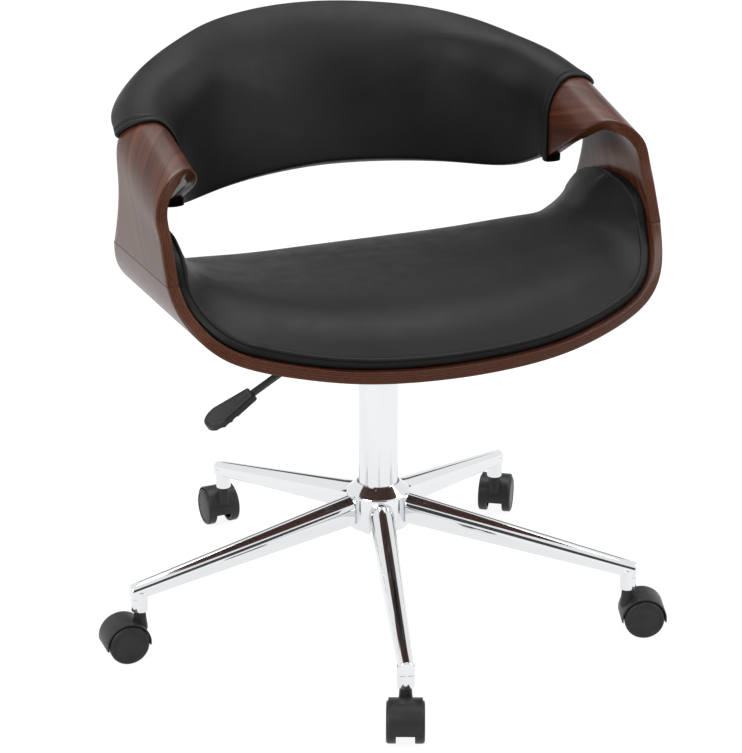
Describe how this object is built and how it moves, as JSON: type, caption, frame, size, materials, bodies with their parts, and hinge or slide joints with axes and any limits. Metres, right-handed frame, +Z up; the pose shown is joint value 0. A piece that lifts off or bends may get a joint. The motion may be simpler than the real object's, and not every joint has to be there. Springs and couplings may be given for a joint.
{
  "type": "office chair",
  "caption": "Swivel office chair with a bent walnut plywood shell, rolled arms, black upholstery, gas lift and a chrome star base on twin-wheel casters.",
  "frame": {"origin": "on the floor, under the axis of the lift column", "axes": "+Z up along the column, -Y towards the front of the seat, +X towards the sitter's left hand, which is on the right of the picture"},
  "size_m": [0.6836, 0.7095, 0.7317],
  "materials": {
    "chrome": "polished",
    "steel": "brushed",
    "black_metal": "satin",
    "black_plastic": "satin",
    "plywood": "gloss",
    "beech": "matte",
    "upholstery": "satin"
  },
  "bodies": {
    "base": {"base_hub": "chrome", "column_tube": "chrome", "guide_bush": "black_plastic", "thrust_bearing": "steel", "leg_1": "chrome", "caster_socket_1": "chrome", "leg_2": "chrome", "caster_socket_2": "chrome", "leg_3": "chrome", "caster_socket_3": "chrome", "leg_4": "chrome", "caster_socket_4": "chrome", "leg_5": "chrome", "caster_socket_5": "chrome"},
    "rod": {"piston_rod": "steel", "rod_clip": "steel"},
    "seat": {"pressure_tube": "chrome", "seat_plate": "black_metal", "seat_bolts": "steel", "tee_nuts": "steel", "lever_pivot_pin": "steel", "seat_shell": "plywood", "joint_dowels": "beech", "arm_right_side": "plywood", "arm_left_side": "plywood", "back_core": "plywood", "back_pad": "upholstery", "back_cuff_right_side": "upholstery", "back_cuff_left_side": "upholstery", "seat_cushion": "upholstery"},
    "lever": {"lever_rod": "black_metal", "lever_paddle": "black_plastic"},
    "valve_pin": {"release_pin": "steel"},
    "caster_1": {"caster_stem_1": "steel", "caster_hood_1": "black_plastic", "caster_axle_1": "steel"},
    "wheel_left_1": {"wheel_left_1": "black_plastic"},
    "wheel_right_1": {"wheel_right_1": "black_plastic"},
    "caster_2": {"caster_stem_2": "steel", "caster_hood_2": "black_plastic", "caster_axle_2": "steel"},
    "wheel_left_2": {"wheel_left_2": "black_plastic"},
    "wheel_right_2": {"wheel_right_2": "black_plastic"},
    "caster_3": {"caster_stem_3": "steel", "caster_hood_3": "black_plastic", "caster_axle_3": "steel"},
    "wheel_left_3": {"wheel_left_3": "black_plastic"},
    "wheel_right_3": {"wheel_right_3": "black_plastic"},
    "caster_4": {"caster_stem_4": "steel", "caster_hood_4": "black_plastic", "caster_axle_4": "steel"},
    "wheel_left_4": {"wheel_left_4": "black_plastic"},
    "wheel_right_4": {"wheel_right_4": "black_plastic"},
    "caster_5": {"caster_stem_5": "steel", "caster_hood_5": "black_plastic", "caster_axle_5": "steel"},
    "wheel_left_5": {"wheel_left_5": "black_plastic"},
    "wheel_right_5": {"wheel_right_5": "black_plastic"}
  },
  "joints": [
    {"name": "seat_swivel", "type": "hinge", "parent": "base", "child": "rod", "pos_m": [0, 0, 0.115], "axis": [0, 0, 1], "continuous": true},
    {"name": "seat_lift", "type": "slide", "parent": "rod", "child": "seat", "axis": [0, 0, 1], "range_m": [0, 0.09]},
    {"name": "lever_pull", "type": "hinge", "parent": "seat", "child": "lever", "pos_m": [-0.045, 0, 0.377], "axis": [0, 1, 0], "range_deg": [0, 5]},
    {"name": "valve_press", "type": "slide", "parent": "seat", "child": "valve_pin", "axis": [0, 0, 1], "range_m": [-0.004, 0]},
    {"name": "caster_swivel_1", "type": "hinge", "parent": "base", "child": "caster_1", "pos_m": [-0.3199, -0.00782, 0.07], "axis": [0, 0, 1], "continuous": true},
    {"name": "wheel_left_spin_1", "type": "hinge", "parent": "caster_1", "child": "wheel_left_1", "pos_m": [-0.3399, -0.00782, 0.025], "axis": [0, -1, 0], "continuous": true},
    {"name": "wheel_right_spin_1", "type": "hinge", "parent": "caster_1", "child": "wheel_right_1", "pos_m": [-0.3399, -0.00782, 0.025], "axis": [0, -1, 0], "continuous": true},
    {"name": "caster_swivel_2", "type": "hinge", "parent": "base", "child": "caster_2", "pos_m": [-0.09142, -0.30666, 0.07], "axis": [0, 0, 1], "continuous": true},
    {"name": "wheel_left_spin_2", "type": "hinge", "parent": "caster_2", "child": "wheel_left_2", "pos_m": [-0.09924, -0.32507, 0.025], "axis": [0.9205, -0.3907, 0], "continuous": true},
    {"name": "wheel_right_spin_2", "type": "hinge", "parent": "caster_2", "child": "wheel_right_2", "pos_m": [-0.09924, -0.32507, 0.025], "axis": [0.9205, -0.3907, 0], "continuous": true},
    {"name": "caster_swivel_3", "type": "hinge", "parent": "base", "child": "caster_3", "pos_m": [0.2634, -0.18171, 0.07], "axis": [0, 0, 1], "continuous": true},
    {"name": "wheel_left_spin_3", "type": "hinge", "parent": "caster_3", "child": "wheel_left_3", "pos_m": [0.2822, -0.18855, 0.025], "axis": [0.342, 0.9397, 0], "continuous": true},
    {"name": "wheel_right_spin_3", "type": "hinge", "parent": "caster_3", "child": "wheel_right_3", "pos_m": [0.2822, -0.18855, 0.025], "axis": [0.342, 0.9397, 0], "continuous": true},
    {"name": "caster_swivel_4", "type": "hinge", "parent": "base", "child": "caster_4", "pos_m": [0.25421, 0.19436, 0.07], "axis": [0, 0, 1], "continuous": true},
    {"name": "wheel_left_spin_4", "type": "hinge", "parent": "caster_4", "child": "wheel_left_4", "pos_m": [0.2651, 0.21113, 0.025], "axis": [-0.8387, 0.5446, 0], "continuous": true},
    {"name": "wheel_right_spin_4", "type": "hinge", "parent": "caster_4", "child": "wheel_right_4", "pos_m": [0.2651, 0.21113, 0.025], "axis": [-0.8387, 0.5446, 0], "continuous": true},
    {"name": "caster_swivel_5", "type": "hinge", "parent": "base", "child": "caster_5", "pos_m": [-0.10629, 0.30183, 0.07], "axis": [0, 0, 1], "continuous": true},
    {"name": "wheel_left_spin_5", "type": "hinge", "parent": "caster_5", "child": "wheel_left_5", "pos_m": [-0.10699, 0.32182, 0.025], "axis": [-0.9994, -0.0349, 0], "continuous": true},
    {"name": "wheel_right_spin_5", "type": "hinge", "parent": "caster_5", "child": "wheel_right_5", "pos_m": [-0.10699, 0.32182, 0.025], "axis": [-0.9994, -0.0349, 0], "continuous": true}
  ],
  "couplings": [
    {"joint": "valve_press", "follows": "lever_pull", "m_per_rad": -0.0458}
  ]
}
